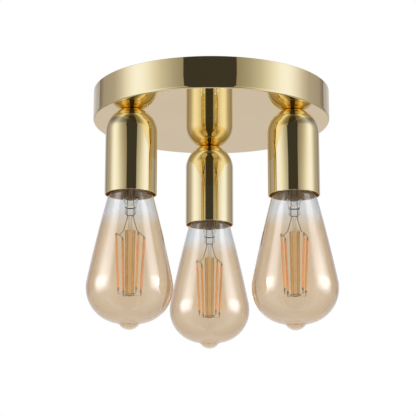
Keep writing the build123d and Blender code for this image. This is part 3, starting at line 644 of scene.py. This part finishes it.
def makeShell(name, place):
    look = shellLook
    low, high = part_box(f"screw_shell_{name}")
    base, top = low.z / mm, high.z / mm
    inner, bevel, innerBevel = look["inner"], look["bevel"], look["innerBevel"]
    outer, under = inner + look["wall"], top - look["wall"]
    profile = [(look["lip"], top), (outer - bevel, top), (outer, top - bevel)]
    profile += wallSteps(outer, top - bevel, base, look["rows"]) + [(inner, base)]
    profile += wallSteps(inner, base, under - innerBevel, look["rows"])
    profile += [(inner - innerBevel, under), (look["lip"], under)]
    bm = turned(profile, steps=128, closed=True)
    pressThread(bm, look["threadBase"], look["threadTop"])
    bmesh.ops.recalc_face_normals(bm, faces=bm.faces)
    return pieceFrom(
        bm, f"screwShell_{name}", shellBrass, "fixture", [f"screw_shell_{name}"], place
    )


stemShape = {
    "flareTop": -74.8, "neck": 11.4, "flare": 5.7, "bend": 4.0, "wall": 0.8, "closing": 6.0,
    "pressTop": -100.1, "shoulder": -102.23, "pressBase": -106.5, "width": 8.4, "depth": 4.6,
    "flatOver": 2.0, "flatIn": 3.6, "flatOut": 2.4, "rod": 1.3,
    "pillarTop": -117.4, "pillarBase": -166.4, "pillarTopRadius": 4.0, "pillarBaseRadius": 3.3,
    "pillarWall": 0.7, "flutes": 12, "fluteDepth": 0.045,
}


def makeStem(name, place):
    look = stemShape
    wall, flareTop, flare, bend = look["wall"], look["flareTop"], look["flare"], look["bend"]
    pressTop, pressBase, half = look["pressTop"], look["pressBase"], look["width"] / 2
    top, base, rodRadius = look["pillarTop"], look["pillarBase"], look["rod"]
    outside = rounded(
        [(look["neck"], flareTop), (flare, flareTop), (flare, pressTop + look["closing"]), (half, pressTop)],
        [bend, bend], steps=10,
    )
    inside = rounded(
        [
            (look["neck"], flareTop + wall), (flare - wall, flareTop + wall),
            (flare - wall, pressTop + look["closing"]), (half - wall, pressTop + wall),
            (0, pressTop + wall * 0.4),
        ],
        [bend - wall, bend, 1.2], steps=10,
    )
    # Below the flare the tube closes into the flat press, then thins to the rod.
    shape = [
        (half, look["shoulder"]), (half, pressBase + 1.6), (rodRadius * 1.6, pressBase + 0.2),
        (rodRadius, pressBase - 1.2), (rodRadius, top + 0.02), (0, top + 0.02),
    ]
    lower = []
    for a, b in zip([outside[-1]] + shape, shape):
        lower += [(a[0] + (b[0] - a[0]) * i / 6, a[1] + (b[1] - a[1]) * i / 6) for i in range(1, 7)]
    bm = turned(inside[::-1] + outside + lower, steps=72)
    thin, over = look["depth"] / look["width"], look["flatOver"]
    for v in bm.verts:
        height = v.co.z / mm
        if pressBase - over < height < pressTop + over:
            rise = min(1, (pressTop + over - height) / look["flatIn"])
            fall = min(1, (height - pressBase + over) / look["flatOut"])
            flat = max(0, min(rise, fall))
            flat = flat * flat * (3 - 2 * flat)
            v.co.y *= 1 - (1 - thin) * flat
    wide, narrow, skin = look["pillarTopRadius"], look["pillarBaseRadius"], look["pillarWall"]
    pillar = rounded(
        [
            (0, top), (wide, top), (narrow, base), (narrow - skin, base),
            (wide - skin, top - skin), (0, top - skin),
        ],
        [0.5, 0.25, 0.25, 0.3], steps=5,
    )
    before = set(bm.verts)
    turned(pillar, steps=144, bm=bm)
    # The pillar is a drawn tube, faintly fluted.
    for v in bm.verts:
        if v not in before and hypot(v.co.x, v.co.y) > mm:
            flute = 1 + look["fluteDepth"] * (cos(look["flutes"] * atan2(v.co.y, v.co.x)) - 1)
            v.co.x *= flute
            v.co.y *= flute
    bmesh.ops.recalc_face_normals(bm, faces=bm.faces)
    return pieceFrom(
        bm, f"glassStem_{name}", stemGlass, f"lamp_{name}", [f"stem_{name}"], place
    )


filamentLook = {
    "radius": 0.95, "endRadius": 0.75, "endLength": 2.0, "topRadius": 11.9, "top": -123.1,
    "baseRadius": 9.6, "base": -161.3, "first": 31.0, "count": 4, "bar": -120.65,
    "supportTop": -163.4, "support": -165.7, "wire": 0.35, "edge": 0.35,
}
filamentTurns = [
    radians(filamentLook["first"] + 360 * i / filamentLook["count"]) for i in range(filamentLook["count"])
]


def around(turn, radius, height):
    return Vector((radius * cos(turn), radius * sin(turn), height))


def makeFilaments(name, place):
    look = filamentLook
    sticks, ends = bmesh.new(), bmesh.new()
    for turn in filamentTurns:
        top = around(turn, look["topRadius"], look["top"])
        base = around(turn, look["baseRadius"], look["base"])
        slope = (top - base).normalized()
        rod(sticks, [base, top], look["radius"], 20)
        for start, way in ((top, slope), (base, -slope)):
            rod(ends, [start + way * 0.02, start + way * look["endLength"]], look["endRadius"], 14)
    bmesh.ops.recalc_face_normals(sticks, faces=sticks.faces)
    bmesh.ops.recalc_face_normals(ends, faces=ends.faces)
    caps = [e for e in sticks.edges if e.is_manifold and e.calc_face_angle() > 1.2]
    bmesh.ops.bevel(
        sticks, geom=caps, offset=look["edge"] * mm, segments=3, affect="EDGES", profile=0.5, material=-1
    )
    stick = pieceFrom(
        sticks, f"filamentSticks_{name}", filamentPhosphor, f"lamp_{name}",
        [f"filaments_{name}"], place,
    )
    end = pieceFrom(
        ends, f"filamentEnds_{name}", leadNickel, f"lamp_{name}", (), place
    )
    return stick, end


leadLook = {
    "offset": 2.4, "spread": 5.0, "top": -72.5, "bend": 2.0, "overhang": 0.35, "supportBend": 0.7,
    "ringGap": 0.45, "sides": 12,
}


def makeLeads(name, place):
    look, sticks = leadLook, filamentLook
    wire, offset, sides = sticks["wire"], look["offset"], look["sides"]
    foot, support = stemShape["pillarBaseRadius"], sticks["support"]
    bm = bmesh.new()
    for side in (-1, 1):
        ends = [
            around(turn, sticks["topRadius"], sticks["bar"])
            for turn in filamentTurns if side * cos(turn) > 0
        ]
        route = [
            (side * offset, 0, look["top"]), (side * offset, 0, stemShape["pressBase"] - look["bend"]),
            (side * look["spread"], 0, stemShape["pillarTop"]), (ends[0] + ends[1]) / 2,
        ]
        rod(bm, bentPath(route, look["bend"]), wire, sides)
        # The bar runs a little past the sticks.
        over = (ends[1] - ends[0]).normalized() * look["overhang"]
        rod(bm, [ends[0] - over, ends[1] + over], wire, sides)
    for turn in filamentTurns:
        route = [
            around(turn, sticks["baseRadius"], sticks["supportTop"]),
            around(turn, sticks["baseRadius"], support), around(turn, foot, support),
        ]
        rod(bm, bentPath(route, look["supportBend"]), wire, sides)
    bmesh.ops.recalc_face_normals(bm, faces=bm.faces)
    # A ring round the foot of the pillar joins the four supports.
    turns = [2 * pi * i / sides for i in range(sides)]
    ring = [(foot + look["ringGap"] + wire * cos(turn), support + wire * sin(turn)) for turn in turns]
    turned(ring, steps=48, closed=True, bm=bm)
    return pieceFrom(
        bm, f"leadWires_{name}", leadNickel, f"lamp_{name}", [f"leads_{name}"], place
    )


print("building plate and bells")
makePlate()
for name, place in lampPlaces.items():
    makeBell(name, place)
    makeShell(name, place)
print("building lamps")
for name, place in lampPlaces.items():
    makeGlass(name, place)
    makeCap(name, place)
    makeStem(name, place)
    makeLeads(name, place)
    makeFilaments(name, place)

# Finishes of the pieces that stay as they were cut
print("dressing the rest")
dressed = {
    "fixing_strap": zincSteel, "side_screws": screwBrass, "terminal_block": nylonBlock,
    "terminal_barrels": screwBrass, "clamp_screws": zincSteel, "block_screws": zincSteel,
    "nipples": zincSteel, "washers": zincSteel, "nipple_nuts": zincSteel, "saddle_screws": zincSteel,
    "terminal_screws": screwBrass, "live_wires": liveSleeve, "neutral_wires": neutralSleeve,
    "earth_wire": earthSleeve, "earth_nut": screwBrass, "saddle": zincSteel, "holder_body": glazedCeramic,
    "live_contact": shellBrass, "neutral_contact": shellBrass, "insulator": blackGlass,
    "contact_button": solderTin, "driver": driverBoard, "ceiling_plate": polishedBrass,
    "bell": polishedBrass, "glass": amberGlass, "cap": capMetal, "screw_shell": shellBrass,
    "stem": stemGlass, "leads": leadNickel, "filaments": filamentPhosphor,
}
for label, node in nodes.items():
    kind = label
    for name in lampPlaces:
        kind = kind.removesuffix("_" + name)
    node.data.materials.clear()
    node.data.materials.append(dressed[kind])


# Studio: a pale floor far below, and soft white surroundings drawn by direction
print("setting the studio")


def stageFrom(bm, name, material):
    mesh = meshFrom(bm, name)
    mesh.materials.append(material)
    thing = bpy.data.objects.new(name, mesh)
    scene.collection.objects.link(thing)
    return thing


# Only a mirror sees it: it neither shows, shades nor lights anything else.
def forMirrors(thing):
    thing.visible_camera = thing.visible_diffuse = False
    thing.visible_transmission = thing.visible_shadow = False


floorLook = {"depth": -1.6, "radius": 60.0, "colour": (0.90, 0.895, 0.90), "dull": 0.985, "cells": 9}


def makeFloor():
    look = floorLook
    material, shader, start, place = newFinish("floorPaint", {"Roughness": 0.6})
    pale = look["colour"]
    tone = noise(place, 3.0, 4.0).between(0.3, 0.7)
    tone.mix(pale, tuple(c * look["dull"] for c in pale)).feed(shader, "Base Color")
    bm = bmesh.new()
    bmesh.ops.create_grid(
        bm, x_segments=look["cells"], y_segments=look["cells"], size=look["radius"],
        matrix=Matrix.Translation((0, 0, look["depth"])),
    )
    stageFrom(bm, "studioFloor", material).visible_glossy = False


makeFloor()


# The gap between the soft sides, which a mirror sees as a dark upright band behind the camera.
# Its edge has a height, and how far it reaches to the left and to the right.
cardLook = {
    "ahead": -0.582, "swing": -0.028, "colour": (0.0486, 0.045, 0.039), "dull": 0.97,
    "edge": [(-1.55, 0.21, 0.21), (0.10, 0.213, 0.213), (0.166, 0.264, 0.243), (0.9, 0.264, 0.243)],
}


def makeCard():
    look = cardLook
    material, shader, start, place = newFinish("cardCloth", {
        "Base Color": (0, 0, 0, 1), "Specular IOR Level": 0.0, "Emission Strength": 1.0, "Roughness": 1.0,
    })
    weave = noise(place, 30.0).between(0.3, 0.7)
    tone = look["colour"]
    weave.mix(tone, tuple(c * look["dull"] for c in tone)).feed(shader, "Emission Color")
    swing = Matrix.Rotation(look["swing"], 3, "Z")
    edge = [(-left, z) for z, left, right in look["edge"]]
    edge += [(right, z) for z, left, right in reversed(look["edge"])]
    bm = bmesh.new()
    bm.faces.new([bm.verts.new(swing @ Vector((x, look["ahead"], z))) for x, z in edge])
    forMirrors(stageFrom(bm, "studioCard", material))


makeCard()


# Two soft boxes that light the lamp glass alone: broad low down, with a narrow tail above.
# The bands are degrees round from the camera's side, and degrees up.
boxLook = {
    "radius": 1.5, "from": 40, "to": 116, "base": -0.75, "top": 1.5, "steps": 48,
    "strength": 14.0, "round": (44.0, 72.0, 80.0, 106.0), "rise": (-26.0, 2.0, 8.0, 28.0),
    "tail": 4.6, "tailRound": (46.0, 62.0, 72.0, 94.0), "tailRise": (4.0, 24.0, 36.0, 44.0),
}


def makeBoxes():
    look = boxLook
    radius, first = look["radius"], radians(look["from"])
    material = bpy.data.materials.new("boxCloth")
    tree = emptyTree(material)
    start = Shade(tree)
    place = start.node("ShaderNodeTexCoord", out="Object")
    x, y, z = (place.axis(which) for which in "XYZ")
    bearing = start.math("ARCTAN2", start.math("ABSOLUTE", x), 0.0 - y) * (180 / pi)
    rise = start.math("ARCTANGENT", z * (1 / radius)) * (180 / pi)
    broad = bearing.band(*look["round"]) * rise.band(*look["rise"]) * look["strength"]
    narrow = bearing.band(*look["tailRound"]) * rise.band(*look["tailRise"]) * look["tail"]
    glow = tree.nodes.new("ShaderNodeEmission")
    (broad + narrow).feed(glow, "Strength")
    clear = tree.nodes.new("ShaderNodeBsdfTransparent")
    both = tree.nodes.new("ShaderNodeAddShader")
    output = tree.nodes.new("ShaderNodeOutputMaterial")
    tree.links.new(glow.outputs[0], both.inputs[0])
    tree.links.new(clear.outputs[0], both.inputs[1])
    tree.links.new(both.outputs[0], output.inputs["Surface"])
    lit = bpy.data.collections.new("lampGlasses")
    for piece in scene.objects:
        if piece.name.startswith("lampGlass"):
            lit.objects.link(piece)
    for side in (-1, 1):
        bm = bmesh.new()
        ends = [
            bm.verts.new((side * radius * sin(first), -radius * cos(first), height))
            for height in (look["base"], look["top"])
        ]
        bmesh.ops.spin(
            bm, geom=ends + [bm.edges.new(ends)], cent=(0, 0, 0), axis=(0, 0, 1),
            angle=side * radians(look["to"] - look["from"]), steps=look["steps"],
        )
        box = stageFrom(bm, f"studioBox_{side}", material)
        forMirrors(box)
        box.light_linking.receiver_collection = lit


makeBoxes()


# White to the eye. A mirror sees a broad glow on each side and a pale back.
skyLook = {
    "swing": -0.012, "fill": 0.85, "backColour": (0.65, 0.61, 0.66), "backEdge": (0.46, 0.455, 0.53),
    "skyColour": (0.70, 0.69, 0.74), "backStart": (138.0, 141.0), "backFade": (139.0, 172.0),
    "horizon": (-8.0, 8.0), "highFade": (24.0, 42.0), "highDim": 0.55,
    "underFade": (-38.0, -20.0), "underRound": (45.0, 80.0), "underDim": 0.6,
    "lowFade": (13.5, 18.5), "lowCentre": 25.0, "lowWidth": 52.0, "lowReach": 12.0,
}
# What the soft sides give off in a mirror, by degrees round from the camera's side
sideGlow = [
    (20, (0.31, 0.28, 0.225)), (25.6, (0.33, 0.30, 0.25)), (37, (0.43, 0.41, 0.39)),
    (49, (0.61, 0.60, 0.59)), (56, (0.77, 0.77, 0.80)), (63, (0.91, 0.94, 1.05)),
    (70, (1.02, 1.06, 1.28)), (77, (1.03, 1.10, 1.38)), (82, (1.00, 1.04, 1.26)),
    (90, (0.84, 0.85, 0.98)), (98.6, (0.61, 0.59, 0.64)), (108, (0.45, 0.425, 0.44)),
    (119, (0.415, 0.385, 0.40)), (128, (0.38, 0.35, 0.36)), (133, (0.28, 0.25, 0.25)),
    (139, (0.20, 0.18, 0.18)),
]


def setWorld():
    look = skyLook
    world = bpy.data.worlds.new("studioWorld")
    tree = emptyTree(world)
    sky = tree.nodes.new("ShaderNodeBackground")
    output = tree.nodes.new("ShaderNodeOutputWorld")
    tree.links.new(sky.outputs[0], output.inputs["Surface"])
    start = Shade(tree)
    way = start.node("ShaderNodeTexCoord", out="Generated")
    x, y, z = (way.axis(which) for which in "XYZ")
    swung = look["swing"]
    across = x * cos(swung) + y * sin(swung)
    ahead = x * sin(swung) - y * cos(swung)
    bearing = start.math("ABSOLUTE", start.math("ARCTAN2", across, ahead)) * (180 / pi)
    rise = start.math("ARCSINE", z) * (180 / pi)
    stops = [(angle / 180, colour) for angle, colour in sideGlow]
    # Lower down, the glow reaches further in towards the gap.
    low = 1.0 - rise.between(*look["lowFade"])
    off = (bearing - look["lowCentre"]) * (1 / look["lowWidth"])
    reach = start.math("MAXIMUM", 1.0 - off ** 2.0, 0.0)
    moved = (bearing + low * reach * look["lowReach"]) * (1 / 180)
    glow = start.node("ShaderNodeValToRGB", {"stops": stops}, {"Fac": moved})
    dim = 1.0 - rise.between(*look["highFade"]) * look["highDim"]
    below = 1.0 - rise.between(*look["underFade"])
    under = 1.0 - below * (1.0 - bearing.between(*look["underRound"])) * look["underDim"]
    sides = (dim * under).mix((0.0, 0.0, 0.0), glow)
    back = rise.between(*look["horizon"]).mix(look["backColour"], look["skyColour"])
    back = bearing.between(*look["backFade"]).mix(look["backEdge"], back)
    seen = bearing.between(*look["backStart"]).mix(sides, back)
    mirrored = start.node("ShaderNodeLightPath", out="Is Glossy Ray")
    eye = start.node("ShaderNodeLightPath", out="Is Camera Ray")
    white = (1.0 - mirrored) * (eye * (1.0 - look["fill"]) + look["fill"])
    white.mix(seen, (1.0, 1.0, 1.0)).feed(sky, "Color")
    scene.world = world


setWorld()

cameraLook = {
    "place": (-2.63, -1083.2, -339.9), "swing": -0.0202, "pitch": 0.2251, "lens": 124.70, "sensor": 36.0,
}


def setCamera():
    look = cameraLook
    data = bpy.data.cameras.new("studioCamera")
    data.lens = look["lens"]
    data.sensor_width = look["sensor"]
    data.clip_start, data.clip_end = 0.01, 200.0
    camera = bpy.data.objects.new("studioCamera", data)
    scene.collection.objects.link(camera)
    swing = Matrix.Rotation(look["swing"], 3, "Z")
    camera.location = swing @ Vector(look["place"]) * mm
    camera.rotation_euler = (pi / 2 + look["pitch"], 0, look["swing"])
    scene.camera = camera


setCamera()
scene.view_settings.view_transform = "Standard"
scene.view_settings.look = "None"
scene.cycles.max_bounces = 24
scene.cycles.transmission_bounces = 20
scene.cycles.glossy_bounces = 8
scene.cycles.diffuse_bounces = 4
